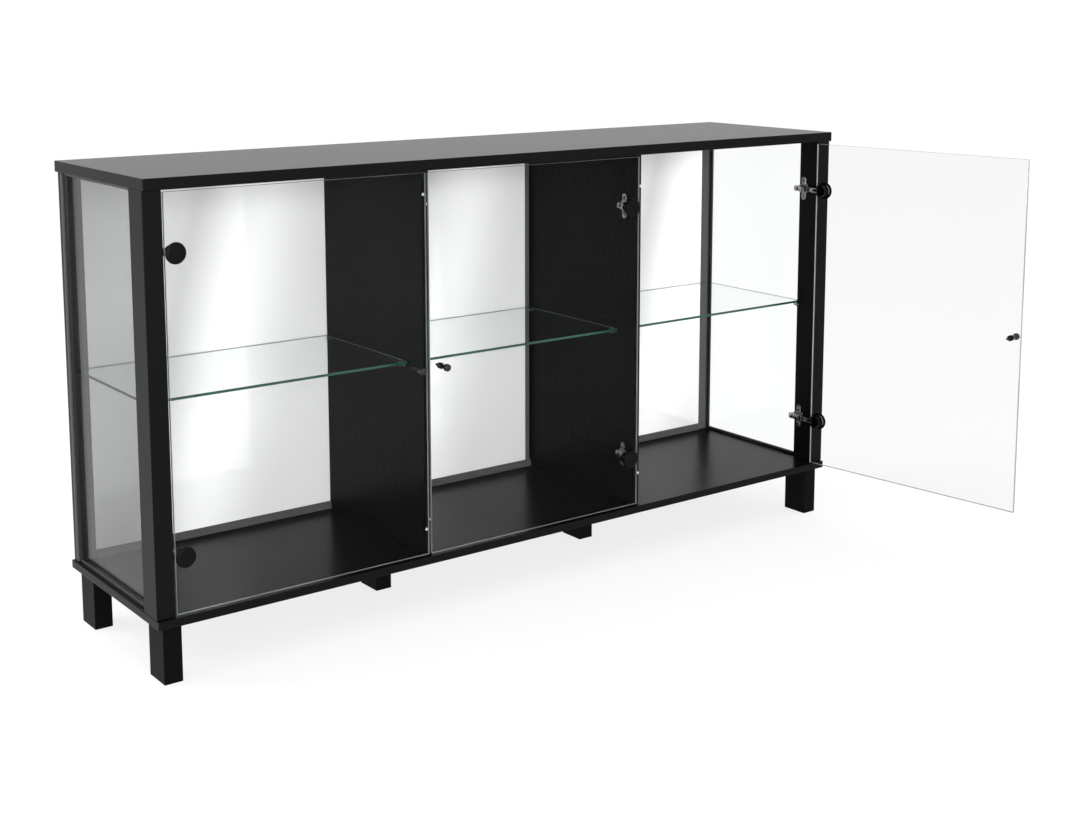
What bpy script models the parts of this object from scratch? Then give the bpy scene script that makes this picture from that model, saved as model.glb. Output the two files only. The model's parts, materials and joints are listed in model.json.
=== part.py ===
"""Glass display showcase: a black board carcass on six legs, with mirror backs, glass ends, glass shelves
and three frameless glass doors on concealed hinges. The left and middle doors are closed and the right
one stands open. Carcass axes: X runs along the front from the middle, Y runs back from the front edge of
the top board, and Z rises from the floor. Metres."""

import math

import bmesh
import bpy

# Overall size
WIDTH = 1.600
DEPTH = 0.390
HEIGHT = 0.863
LEG_HEIGHT = 0.103
TOP_THICK = 0.020
BASE_THICK = 0.015

# Carcass boards
FRONT_POST_WIDE = 0.034
FRONT_POST_DEEP = 0.054
FRONT_POST_SET_BACK = 0.006
REAR_POST_INSET = 0.004
REAR_POST_INNER = 0.758
REAR_FACE = 0.370
REAR_POST_DEEP = 0.016
DIVIDER_THICK = 0.015
DIVIDER_OFFSET = 0.2545
DIVIDER_FRONT = 0.013
RAIL_HIGH = 0.015
RAIL_DEEP = 0.0065
BACK_FRONT = 0.3732
BACK_THICK = 0.004
MIRROR_THICK = 0.003
MIRROR_MARGIN = 0.0125
LEG_WIDE = 0.034
LEG_DEEP = 0.060
LEG_INSET = 0.012

# Glass
GLASS = 0.005
SIDE_GLASS_INSET = 0.0148
GROOVE_SLACK = 0.0004
GROOVE_DEEP = 0.006
SHELF_TOP = 0.481
SHELF_FRONT = 0.064
SHELF_BACK = 0.368
SHELF_CLEAR = 0.002

# Doors, each described from its hinge axis: "along" runs to the free edge and "inward" runs to the back
DOOR_LOW = 0.121
DOOR_HIGH = 0.839
DOOR_OUTER_EDGE = 0.7635
DOOR_GAP = 0.005
AXIS_CLEAR = 0.001
OPEN_ANGLE = math.radians(97)
HINGE_HEIGHTS = {"lower": 0.219, "upper": 0.737}
KNOB_HEIGHT = 0.478
KNOB_FROM_EDGE = 0.024
KNOB_HOLE = 0.0025
KNOB_LONG = 0.025
KNOB_HEAD = 0.007
KNOB_WAIST = 0.0042
KNOB_FOOT = 0.006
KNOB_NUT = 0.0045
KNOB_NUT_THICK = 0.0030
KNOB_SCREW = 0.0020
KNOB_SCREW_LONG = 0.0115

# Concealed hinges
CUP_ALONG = 0.0195
CUP_HOLE = 0.013
CUP_BODY = 0.0125
CUP_FLANGE = 0.01575
CUP_FLANGE_THICK = 0.0012
CUP_CAP = 0.0185
CUP_CAP_THICK = 0.0034
CUP_DEEP = 0.019
CUP_WALL = 0.001
POCKET_HALF = 0.0055
POCKET_NEAR = 0.009
POCKET_FLOOR = 0.003
NOTCH_FLOOR = 0.0085
PIVOT_ALONG = 0.0105
PIVOT_INWARD = 0.013
PIVOT_PIN = 0.0013
PIVOT_PIN_HALF = 0.0043
PIVOT_SLACK = 0.0004
LINK_LONG = 0.0199
LINK_CLOSED = math.radians(-21.9)
LINK_RATIO = 0.646
LINK_BARREL = 0.0016
LINK_THIN = 0.0013
LINK_NECK_HALF = 0.0027
FORK_START = 0.006
FORK_HALF = 0.005
FORK_CROTCH = 0.010
ARM_TOP = 0.014
ARM_START = 0.020
ARM_END = 0.061
ARM_HALF = 0.006
ARM_ROUND = 0.0012
NOSE_LOW = 0.0074
NOSE_START = 0.010
NOSE_END = 0.024
NOSE_HALF = 0.0045
SLOT_LOW = 0.0086
SLOT_END = 0.030
SLOT_HALF = 0.003
PLATE_THICK = 0.0025
PLATE_START = 0.028
PLATE_END = 0.053
PLATE_HALF = 0.009
WING_HALF = 0.0255
WING_INSET = 0.006
SCREW_HOLE = 0.0022
SCREW_OFFSET = 0.016

# Shelf pins
PIN_RADIUS = 0.003
PIN_LONG = 0.0095
PIN_COLLAR = 0.0042
PIN_COLLAR_THICK = 0.0015
PIN_SHANK = 0.0024
PIN_SHANK_LONG = 0.006
PIN_HOLE = 0.0028
PIN_HOLE_DEEP = 0.0068
PIN_SIDE_IN = 0.032
PIN_FRONT = 0.081
PIN_REAR = 0.357

# Gaps between neighbours, rounded edges, how far joined shapes overlap and how far a cutter runs past
GAP = 0.0003
EDGE_ROUND = 0.0010
GLASS_ROUND = 0.0005
OVERLAP = 0.001
PAST = 0.010

FLOOR_TOP = LEG_HEIGHT + BASE_THICK
CEILING = HEIGHT - TOP_THICK
POST_INNER = WIDTH / 2 - FRONT_POST_WIDE
POST_BACK = FRONT_POST_SET_BACK + FRONT_POST_DEEP
SIDE_GLASS = WIDTH / 2 - SIDE_GLASS_INSET
GROOVE_OUTER = SIDE_GLASS + GROOVE_SLACK
GROOVE_INNER = SIDE_GLASS - GLASS - GROOVE_SLACK
PIN_HEIGHT = SHELF_TOP - GLASS - GAP - PIN_RADIUS
DIVIDER_NEAR = DIVIDER_OFFSET - DIVIDER_THICK / 2
DIVIDER_FAR = DIVIDER_OFFSET + DIVIDER_THICK / 2
AXIS_INWARD = FRONT_POST_SET_BACK - AXIS_CLEAR
SIDES = {"left": -1, "right": 1}


def clear_scene():
    for obj in list(bpy.data.objects):
        bpy.data.objects.remove(obj, do_unlink=True)


def collection(name):
    made = bpy.data.collections.new(name)
    bpy.context.scene.collection.children.link(made)
    return made


def material(name, colour, rough, metallic=0.0, transmission=0.0):
    made = bpy.data.materials.new(name)
    made.use_nodes = True
    shader = made.node_tree.nodes["Principled BSDF"]
    shader.inputs["Base Color"].default_value = (*colour, 1.0)
    shader.inputs["Roughness"].default_value = rough
    shader.inputs["Metallic"].default_value = metallic
    shader.inputs["Transmission Weight"].default_value = transmission
    return made


clear_scene()
PARTS = collection("glass_showcase")
CUTTERS = collection("cutters")
CASE = bpy.data.objects.new("showcase_frame", None)
PARTS.objects.link(CASE)

BOARD = material("black_melamine", (0.012, 0.012, 0.013), 0.45)
CLEAR = material("clear_glass", (0.86, 0.95, 0.92), 0.02, transmission=1.0)
MIRROR = material("mirror_glass", (0.86, 0.88, 0.88), 0.03, metallic=1.0)
STEEL = material("nickel_steel", (0.62, 0.61, 0.59), 0.28, metallic=1.0)
BLACK = material("black_plastic", (0.010, 0.010, 0.011), 0.35)
KNOB = material("black_knob_metal", (0.015, 0.015, 0.016), 0.30, metallic=0.6)


def add(name, mesh, finish, parent=CASE):
    """A part of the showcase, placed under its parent."""
    obj = bpy.data.objects.new(name, mesh)
    obj.data.materials.append(finish)
    obj.parent = parent
    PARTS.objects.link(obj)
    return obj


def cutter(mesh, parent):
    """A hidden helper that a Boolean cuts with or joins."""
    obj = bpy.data.objects.new("helper", mesh)
    obj.parent = parent
    obj.hide_render = True
    obj.display_type = "WIRE"
    CUTTERS.objects.link(obj)
    return obj


def box_mesh(low, high):
    """A box between two corners given in any order."""
    cells = bmesh.new()
    bmesh.ops.create_cube(cells, size=1.0)
    for vert in cells.verts:
        for axis in range(3):
            middle = (low[axis] + high[axis]) / 2
            vert.co[axis] = middle + vert.co[axis] * abs(high[axis] - low[axis])
    mesh = bpy.data.meshes.new("box")
    cells.to_mesh(mesh)
    cells.free()
    return mesh


def rod_mesh(centre, axis, radius, half, sides=12):
    """A cylinder of the given half length about a centre, along X, Y or Z."""
    cells = bmesh.new()
    bmesh.ops.create_cone(
        cells, cap_ends=True, segments=sides, radius1=radius, radius2=radius, depth=2 * half
    )
    for vert in cells.verts:
        x, y, z = vert.co
        turned = {"X": (z, x, y), "Y": (y, z, x), "Z": (x, y, z)}[axis]
        vert.co = [place + offset for place, offset in zip(centre, turned)]
    mesh = bpy.data.meshes.new("rod")
    cells.to_mesh(mesh)
    cells.free()
    return mesh


def bevel(obj, width, segments=2):
    step = obj.modifiers.new("edges", "BEVEL")
    step.width = width
    step.segments = segments
    step.limit_method = "ANGLE"
    return obj


def boolean(obj, other, operation):
    step = obj.modifiers.new(operation.lower(), "BOOLEAN")
    step.operation = operation
    step.object = other
    step.solver = "EXACT"


def cut(obj, mesh):
    boolean(obj, cutter(mesh, obj.parent), "DIFFERENCE")


def join(obj, mesh):
    boolean(obj, cutter(mesh, obj.parent), "UNION")


def board(name, low, high, finish=BOARD, parent=CASE, edge=EDGE_ROUND, segments=2):
    return bevel(add(name, box_mesh(low, high), finish, parent), edge, segments)


def turned(name, profile, finish, parent, place, turn, steps):
    """A turned piece. The profile lists (radius, height) from the top of its axis down to the bottom."""
    cells = bmesh.new()
    points = [cells.verts.new((radius, 0.0, height)) for radius, height in profile]
    for first, second in zip(points, points[1:]):
        cells.edges.new((first, second))
    mesh = bpy.data.meshes.new(name)
    cells.to_mesh(mesh)
    cells.free()
    obj = add(name, mesh, finish, parent)
    obj.location = place
    obj.rotation_euler = turn
    spin = obj.modifiers.new("turn", "SCREW")
    spin.steps = spin.render_steps = steps
    spin.use_merge_vertices = True
    spin.merge_threshold = 1e-5
    spin.use_smooth_shade = True
    return obj


def groove_end_boards(panel, low, high):
    """Grooves for the two end glasses in a horizontal board."""
    front, back = POST_BACK - GROOVE_DEEP, REAR_FACE + GROOVE_DEEP
    for side in SIDES.values():
        cut(panel, box_mesh((side * GROOVE_OUTER, front, low), (side * GROOVE_INNER, back, high)))


def carcass():
    half = WIDTH / 2
    top = board("top_panel", (-half, 0, CEILING), (half, DEPTH, HEIGHT))
    base = board("base_panel", (-half, 0, LEG_HEIGHT), (half, DEPTH, FLOOR_TOP))
    groove_end_boards(top, CEILING - GROOVE_DEEP, CEILING + GROOVE_DEEP)
    groove_end_boards(base, FLOOR_TOP - GROOVE_DEEP, FLOOR_TOP + GROOVE_DEEP)
    low, high = FLOOR_TOP + GAP, CEILING - GAP
    for word, side in SIDES.items():
        post = board(
            f"{word}_front_post",
            (side * half, FRONT_POST_SET_BACK, low),
            (side * POST_INNER, POST_BACK, high),
        )
        rear = board(
            f"{word}_rear_post",
            (side * (half - REAR_POST_INSET), REAR_FACE, low),
            (side * REAR_POST_INNER, REAR_FACE + REAR_POST_DEEP, high),
        )
        outer, inner = side * GROOVE_OUTER, side * GROOVE_INNER
        cut(post, box_mesh(
            (outer, POST_BACK - GROOVE_DEEP, low - PAST), (inner, POST_BACK + PAST, high + PAST)
        ))
        cut(rear, box_mesh(
            (outer, REAR_FACE - PAST, low - PAST), (inner, REAR_FACE + GROOVE_DEEP, high + PAST)
        ))
        pin = side * (half - PIN_SIDE_IN)
        cut(post, rod_mesh((pin, POST_BACK, PIN_HEIGHT), "Y", PIN_HOLE, PIN_HOLE_DEEP))
        cut(rear, rod_mesh((pin, REAR_FACE, PIN_HEIGHT), "Y", PIN_HOLE, PIN_HOLE_DEEP))
        divider = board(
            f"{word}_divider",
            (side * DIVIDER_NEAR, DIVIDER_FRONT, low),
            (side * DIVIDER_FAR, BACK_FRONT - GAP, high),
        )
        cut(divider, box_mesh(
            (side * (DIVIDER_NEAR - PAST), BACK_FRONT - RAIL_DEEP - 2 * GAP, low - PAST),
            (side * (DIVIDER_FAR + PAST), BACK_FRONT + PAST, low + RAIL_HIGH + GAP),
        ))
        for inward in (PIN_FRONT, PIN_REAR):
            centre = (side * DIVIDER_OFFSET, inward, PIN_HEIGHT)
            cut(divider, rod_mesh(centre, "X", PIN_HOLE, DIVIDER_THICK))
    board(
        "rear_rail",
        (-REAR_POST_INNER + GAP, BACK_FRONT - RAIL_DEEP - GAP, low),
        (REAR_POST_INNER - GAP, BACK_FRONT - GAP, low + RAIL_HIGH),
    )
    board(
        "back_panel",
        (-REAR_POST_INNER + GAP, BACK_FRONT, low),
        (REAR_POST_INNER - GAP, BACK_FRONT + BACK_THICK, high),
        edge=GLASS_ROUND,
        segments=1,
    )


def legs():
    under = LEG_HEIGHT - GAP
    corner = WIDTH / 2 - LEG_INSET - LEG_WIDE / 2
    rows = {
        "front": (corner, LEG_INSET + LEG_DEEP / 2),
        "middle": (DIVIDER_OFFSET, DEPTH / 2 + LEG_INSET),
        "rear": (corner, DEPTH - LEG_INSET - LEG_DEEP / 2),
    }
    for word, side in SIDES.items():
        for row, (across, inward) in rows.items():
            x = side * across
            board(
                f"{word}_{row}_leg",
                (x - LEG_WIDE / 2, inward - LEG_DEEP / 2, 0),
                (x + LEG_WIDE / 2, inward + LEG_DEEP / 2, under),
            )


def fixed_glass():
    deeper = GROOVE_DEEP - 2 * GAP
    low, high = FLOOR_TOP - deeper, CEILING + deeper
    for word, side in SIDES.items():
        board(
            f"{word}_side_glass",
            (side * SIDE_GLASS, POST_BACK - deeper, low),
            (side * (SIDE_GLASS - GLASS), REAR_FACE + deeper, high),
            CLEAR, edge=GLASS_ROUND, segments=1,
        )
    bays = {
        "left": (-SIDE_GLASS + GLASS + 2 * GAP, -DIVIDER_FAR - SHELF_CLEAR),
        "middle": (-DIVIDER_NEAR + SHELF_CLEAR, DIVIDER_NEAR - SHELF_CLEAR),
        "right": (DIVIDER_FAR + SHELF_CLEAR, SIDE_GLASS - GLASS - 2 * GAP),
    }
    for word, (start, end) in bays.items():
        board(
            f"{word}_shelf",
            (start, SHELF_FRONT, SHELF_TOP - GLASS),
            (end, SHELF_BACK, SHELF_TOP),
            CLEAR, edge=GLASS_ROUND, segments=1,
        )
    mirrors = {
        "left": (-REAR_POST_INNER + GAP, -DIVIDER_FAR - GAP),
        "middle": (-DIVIDER_NEAR + MIRROR_MARGIN, DIVIDER_NEAR - MIRROR_MARGIN),
        "right": (DIVIDER_FAR + GAP, REAR_POST_INNER - GAP),
    }
    for word, (start, end) in mirrors.items():
        board(
            f"{word}_mirror",
            (start, BACK_FRONT - GAP - MIRROR_THICK, FLOOR_TOP + 2 * GAP + RAIL_HIGH),
            (end, BACK_FRONT - GAP, CEILING - 2 * GAP),
            MIRROR, edge=GLASS_ROUND, segments=1,
        )


def shelf_pin(name, place, turn):
    """A plug-in shelf support: shank in the board, collar against its face, stud under the glass."""
    profile = [
        (0, PIN_LONG), (PIN_RADIUS, PIN_LONG), (PIN_RADIUS, PIN_COLLAR_THICK),
        (PIN_COLLAR, PIN_COLLAR_THICK), (PIN_COLLAR, GAP), (PIN_SHANK, GAP),
        (PIN_SHANK, -PIN_SHANK_LONG), (0, -PIN_SHANK_LONG),
    ]
    turned(name, profile, STEEL, CASE, place, turn, steps=12)


def shelf_pins():
    quarter = math.pi / 2
    for word, side in SIDES.items():
        across = side * (WIDTH / 2 - PIN_SIDE_IN)
        shelf_pin(f"{word}_shelf_pin_post_front", (across, POST_BACK, PIN_HEIGHT), (-quarter, 0, 0))
        shelf_pin(f"{word}_shelf_pin_post_rear", (across, REAR_FACE, PIN_HEIGHT), (quarter, 0, 0))
        for end, inward in (("front", PIN_FRONT), ("rear", PIN_REAR)):
            outer = (side * DIVIDER_FAR, inward, PIN_HEIGHT)
            inner = (side * DIVIDER_NEAR, inward, PIN_HEIGHT)
            shelf_pin(f"{word}_shelf_pin_divider_{end}", outer, (0, side * quarter, 0))
            shelf_pin(f"middle_shelf_pin_{word}_{end}", inner, (0, -side * quarter, 0))


def reach(hand, low, high):
    """A box given in a door's own directions, for a door that runs along +X (hand 1) or -X (hand -1)."""
    return box_mesh((hand * low[0], low[1], low[2]), (hand * high[0], high[1], high[2]))


def hinge_cup(name, hand, height, door):
    """The cup: cover cap in front of the glass, neck through its hole, flange and hollow body behind it."""
    front = AXIS_CLEAR - GAP
    face = AXIS_CLEAR - CUP_CAP_THICK
    back = AXIS_CLEAR + GLASS + GAP
    profile = [
        (0, CUP_DEEP), (CUP_BODY, CUP_DEEP), (CUP_BODY, back + CUP_FLANGE_THICK),
        (CUP_FLANGE, back + CUP_FLANGE_THICK), (CUP_FLANGE, back), (CUP_BODY, back),
        (CUP_BODY, front), (CUP_CAP, front), (CUP_CAP, face + EDGE_ROUND),
        (CUP_CAP - EDGE_ROUND, face), (0, face),
    ]
    centre = (hand * CUP_ALONG, 0, height)
    cup = turned(name, profile, BLACK, door, centre, (-math.pi / 2, 0, 0), steps=24)
    low, high, mouth = height - POCKET_HALF, height + POCKET_HALF, CUP_DEEP + PAST
    far = CUP_ALONG + CUP_BODY - CUP_WALL
    cut(cup, reach(hand, (POCKET_NEAR, POCKET_FLOOR, low), (far, mouth, high)))
    cut(cup, reach(hand, (-POCKET_NEAR, NOTCH_FLOOR, low), (POCKET_NEAR + GAP, mouth, high)))


def hinge_arm(name, hand, height, axis_x, face):
    """The arm on its mounting plate. face is the board's surface, measured along the closed door."""
    frame = bpy.data.objects.new(f"{name}_place", None)
    frame.location = (axis_x, AXIS_INWARD, height)
    frame.parent = CASE
    PARTS.objects.link(frame)
    base = face + GAP
    plate_top = base + PLATE_THICK
    arm = add(name, reach(hand, (base, ARM_START, -ARM_HALF), (ARM_TOP, ARM_END, ARM_HALF)), STEEL, frame)
    bevel(arm, ARM_ROUND, 1)
    join(arm, reach(hand, (NOSE_LOW, NOSE_START, -NOSE_HALF), (ARM_TOP, NOSE_END, NOSE_HALF)))
    wing_start, wing_end = PLATE_START + WING_INSET, PLATE_END - WING_INSET
    join(arm, reach(hand, (base, wing_start, -WING_HALF), (plate_top, wing_end, WING_HALF)))
    join(arm, reach(hand, (base, PLATE_START, -PLATE_HALF), (plate_top, PLATE_END, PLATE_HALF)))
    cut(arm, reach(hand, (SLOT_LOW, NOSE_START - PAST, -SLOT_HALF), (ARM_TOP + PAST, SLOT_END, SLOT_HALF)))
    pivot = (hand * PIVOT_ALONG, PIVOT_INWARD, 0)
    cut(arm, rod_mesh(pivot, "Z", PIVOT_PIN + PIVOT_SLACK, ARM_HALF))
    for end in (-1, 1):
        hole = (hand * base, (PLATE_START + PLATE_END) / 2, end * SCREW_OFFSET)
        cut(arm, rod_mesh(hole, "X", SCREW_HOLE, 2 * PLATE_THICK))


def hinge_link(name, hand, height, axis_x, opened):
    """The forked link, which turns on its pin in the arm's nose while its prongs reach into the cup."""
    pivot = bpy.data.objects.new(f"{name}_pivot", None)
    pivot.location = (axis_x + hand * PIVOT_ALONG, AXIS_INWARD + PIVOT_INWARD, height)
    pivot.rotation_euler = (0, 0, hand * (LINK_CLOSED - LINK_RATIO * opened))
    pivot.parent = CASE
    PARTS.objects.link(pivot)
    neck, tip = LINK_NECK_HALF, LINK_LONG + LINK_THIN
    link = add(name, rod_mesh((0, 0, 0), "Z", LINK_BARREL, neck), STEEL, pivot)
    join(link, rod_mesh((0, 0, 0), "Z", PIVOT_PIN, PIVOT_PIN_HALF))
    join(link, reach(hand, (0, -LINK_THIN, GAP - neck), (FORK_START + OVERLAP, LINK_THIN, neck - GAP)))
    join(link, reach(hand, (FORK_START, -LINK_THIN, -FORK_HALF), (tip, LINK_THIN, FORK_HALF)))
    cut(link, reach(hand, (FORK_CROTCH, -PAST, -neck), (tip + PAST, PAST, neck)))


def knob(name, hand, along, door):
    """A small turned pull, screwed through the glass from the inside."""
    front, back = AXIS_CLEAR - GAP, AXIS_CLEAR + GLASS + GAP
    tip, nut, end = front - KNOB_LONG, back + KNOB_NUT_THICK, back + KNOB_SCREW_LONG
    profile = [
        (0, end), (KNOB_SCREW, end), (KNOB_SCREW, nut), (KNOB_NUT, nut), (KNOB_NUT, back),
        (KNOB_SCREW, back), (KNOB_SCREW, front), (KNOB_FOOT, front), (KNOB_FOOT, front - 0.0020),
        (KNOB_WAIST, front - 0.0060), (KNOB_WAIST, front - 0.0110), (KNOB_HEAD, front - 0.0165),
        (KNOB_HEAD, tip + 0.0015), (KNOB_HEAD - 0.0015, tip), (0, tip),
    ]
    turned(name, profile, KNOB, door, (hand * along, 0, KNOB_HEIGHT), (-math.pi / 2, 0, 0), steps=16)


def door(word, hand, edge, free_edge, board_x, opened):
    """A frameless glass door with its hinges and knob, under an empty on its hinge axis. The door runs
    from edge to free_edge, and board_x is the face that its hinge arms are screwed to."""
    axis_x = edge - hand * AXIS_CLEAR
    face = hand * (board_x - axis_x)
    axis = bpy.data.objects.new(f"{word}_door_axis", None)
    axis.location = (axis_x, AXIS_INWARD, 0)
    axis.rotation_euler = (0, 0, -hand * opened)
    axis.parent = CASE
    PARTS.objects.link(axis)
    wide = abs(free_edge - axis_x)
    glass = add(f"{word}_door_glass", reach(
        hand, (AXIS_CLEAR, AXIS_CLEAR, DOOR_LOW), (wide, AXIS_CLEAR + GLASS, DOOR_HIGH)
    ), CLEAR, axis)
    bevel(glass, GLASS_ROUND, 1)
    knob_along = wide - KNOB_FROM_EDGE
    through = GLASS * 2
    cut(glass, rod_mesh((hand * knob_along, 0, KNOB_HEIGHT), "Y", KNOB_HOLE, through))
    for level, height in HINGE_HEIGHTS.items():
        cut(glass, rod_mesh((hand * CUP_ALONG, 0, height), "Y", CUP_HOLE, through, 24))
        hinge_cup(f"{word}_{level}_hinge_cup", hand, height, axis)
        hinge_arm(f"{word}_{level}_hinge_arm", hand, height, axis_x, face)
        hinge_link(f"{word}_{level}_hinge_link", hand, height, axis_x, opened)
    knob(f"{word}_door_knob", hand, knob_along, axis)


def doors():
    near_edge, far_edge = DIVIDER_OFFSET - DOOR_GAP / 2, DIVIDER_OFFSET + DOOR_GAP / 2
    door("left", 1, -DOOR_OUTER_EDGE, -far_edge, -POST_INNER, 0.0)
    door("middle", -1, near_edge, -near_edge, DIVIDER_NEAR, 0.0)
    door("right", -1, DOOR_OUTER_EDGE, far_edge, POST_INNER, OPEN_ANGLE)


def stand_at_origin():
    """Moves the frame so that the middle of the whole object, with its open door, is over the origin."""
    bpy.context.view_layer.update()
    graph = bpy.context.evaluated_depsgraph_get()
    lows, highs = [], []
    for obj in PARTS.objects:
        if obj.type != "MESH":
            continue
        shape = obj.evaluated_get(graph)
        mesh = shape.to_mesh()
        points = [shape.matrix_world @ vert.co for vert in mesh.vertices]
        lows.append([min(point[axis] for point in points) for axis in range(2)])
        highs.append([max(point[axis] for point in points) for axis in range(2)])
        shape.to_mesh_clear()
    middle = [
        (min(low[axis] for low in lows) + max(high[axis] for high in highs)) / 2 for axis in range(2)
    ]
    CASE.location = (-middle[0], -middle[1], 0)
    bpy.context.view_layer.update()


carcass()
legs()
fixed_glass()
shelf_pins()
doors()
stand_at_origin()
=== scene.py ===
"""Looks for the glass display showcase: glass with polished edges, mirrors, satin black boards, and the
finer shapes of the hinges, knobs, shelf pins, bumpers, glazing beads and screws. Metres."""

import json
import math

import bmesh
import bpy
from mathutils import Matrix, Vector
from mathutils.geometry import tessellate_polygon


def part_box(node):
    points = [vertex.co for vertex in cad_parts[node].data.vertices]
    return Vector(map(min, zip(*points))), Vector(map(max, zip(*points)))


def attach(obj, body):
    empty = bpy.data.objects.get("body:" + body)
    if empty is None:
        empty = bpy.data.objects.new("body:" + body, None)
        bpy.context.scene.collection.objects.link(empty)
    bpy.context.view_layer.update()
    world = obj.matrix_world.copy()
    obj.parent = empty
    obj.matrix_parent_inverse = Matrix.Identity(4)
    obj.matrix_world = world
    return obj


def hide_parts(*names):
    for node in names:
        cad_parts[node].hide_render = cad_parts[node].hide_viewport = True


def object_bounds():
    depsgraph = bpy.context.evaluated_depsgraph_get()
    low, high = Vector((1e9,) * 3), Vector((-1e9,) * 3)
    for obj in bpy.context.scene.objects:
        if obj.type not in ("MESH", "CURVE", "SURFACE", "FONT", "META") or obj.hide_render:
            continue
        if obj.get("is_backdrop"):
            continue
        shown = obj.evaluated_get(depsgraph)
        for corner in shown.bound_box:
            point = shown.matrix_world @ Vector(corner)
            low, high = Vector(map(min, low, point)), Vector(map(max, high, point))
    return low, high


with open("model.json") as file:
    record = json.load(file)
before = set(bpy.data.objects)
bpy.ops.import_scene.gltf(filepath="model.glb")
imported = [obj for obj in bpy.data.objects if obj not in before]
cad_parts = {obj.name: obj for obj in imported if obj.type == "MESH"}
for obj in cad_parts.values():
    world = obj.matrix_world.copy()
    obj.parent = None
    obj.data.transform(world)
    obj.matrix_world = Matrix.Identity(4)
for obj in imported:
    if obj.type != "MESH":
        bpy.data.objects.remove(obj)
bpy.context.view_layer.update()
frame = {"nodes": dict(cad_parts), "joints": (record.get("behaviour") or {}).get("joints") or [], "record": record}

# Camera, measured from the top board's front left corner
CAMERA_OFFSET = Vector((-1.0261, -2.4189, 0.2741))
CAMERA_YAW = math.radians(37.08)
CAMERA_PITCH = math.radians(8.46)
CAMERA_LENS = 53.14
CAMERA_SENSOR = 36.0
CAMERA_SHIFT = -0.15
CAMERA_FAR = 100.0

# Boards: how rough they are, and how deep the painted light (a paler tone) on the rear posts, rail and back goes
BOARD_ROUGHNESS = 0.275
REAR_PAINTED_LIGHT_DEPTH = 0.003

# Mirrors, with a painted reflection in their colour: the bright band's place on each one, how far the painted
# shading reaches from the band's middle, how the band slants, and the greys from one end of the shading to the
# other
PAINTED_REFLECTION_PLACES = {"left": 0.01, "middle": -0.01, "right": 0.14}
PAINTED_REFLECTION_REACH = 0.3
PAINTED_REFLECTION_SLANT = math.radians(-14)
PAINTED_REFLECTION_GREYS = {
    0.0: 0.92, 0.12: 0.92, 0.30: 0.55, 0.36: 0.58, 0.45: 0.88, 0.52: 0.99, 0.60: 0.97, 0.68: 0.84,
    0.78: 0.74, 0.95: 0.78,
}

# Glass
ARRIS = 0.0004
PANE_CORNER = 0.0012
SHELF_CORNER = 0.003
CUP_HOLE = 0.013
KNOB_HOLE = 0.0025

# The gap between the glass and whatever is clamped to it
GASKET = 0.0003

# Knobs
KNOB_FOOT = 0.0060
KNOB_WAIST = 0.0042
WASHER_RADIUS = 0.0058
WASHER_END = 0.0008
NUT_RADIUS = 0.0046
NUT_END = 0.0036
KNOB_SCREW_RADIUS = 0.0019

# Hinge cups, with a notch and a pocket for the link
CUP_RADIUS = 0.0125
CUP_WALL = 0.0009
CUP_FLOOR = 0.0015
FLANGE_RADIUS = 0.0157
FLANGE_END = 0.0012
NOTCH_HALF = 0.0056
NOTCH_START = 0.0085
NOTCH_CORNER = 0.001
POCKET_START = 0.003
POCKET_SKIN = 0.001
POCKET_CORNER = 0.0005
CUT_PAST = 0.01

# Hinge arms and their mounting plates
ARM_HALF = 0.006
FORK_INNER = 0.0031
FORK_OUTER = 0.0046
WING_START = 0.028
WING_END = 0.053
WING_HALF = 0.0065
PLATE_HALF = 0.009
PLATE_THICK = 0.0025
PLATE_STEP = 0.0004
PLATE_HOLE = 0.0022
PLATE_SCREW_RISE = 0.016
PLATE_SCREW_RADIUS = 0.0037
SCREW_SUNK = 0.0002

# Shelf pins
STUD_RADIUS = 0.0030
COLLAR_RADIUS = 0.0042
ROOT_RADIUS = 0.0024
STUD_LONG = 0.0095

# Bumpers
BUMPER_RADIUS = 0.0029
BUMPER_HIGH = 0.0017
BUMPER_STEPS = 5

# Glazing beads
BEAD_WIDE = 0.0072
BEAD_HIGH = 0.0062
BEAD_ROUND = 0.003
BEAD_STEPS = 6
BEAD_CLEAR = 0.0001
BEAD_FOOT = 0.0002

# Screws of the back panel
BACK_MARGIN = 0.008
BACK_ROWS = 5

# The studio floor's half size, the radius of its curve, and the height of its wall
STAGE_REACH = 14.0
STAGE_BEND = 3.0
STAGE_RISE = 7.0
STAGE_STEPS = 16

NODES = frame["nodes"]
SLOT_OF = {part["node"]: part["material_slot"] for part in frame["record"]["subparts"]}
JOINTS = {joint["child"]: joint for joint in frame["joints"]}
WORDS = ("left", "middle", "right")
SIDES = {"left": -1, "right": 1}


# ---------------------------------------------------------------- materials


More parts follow.
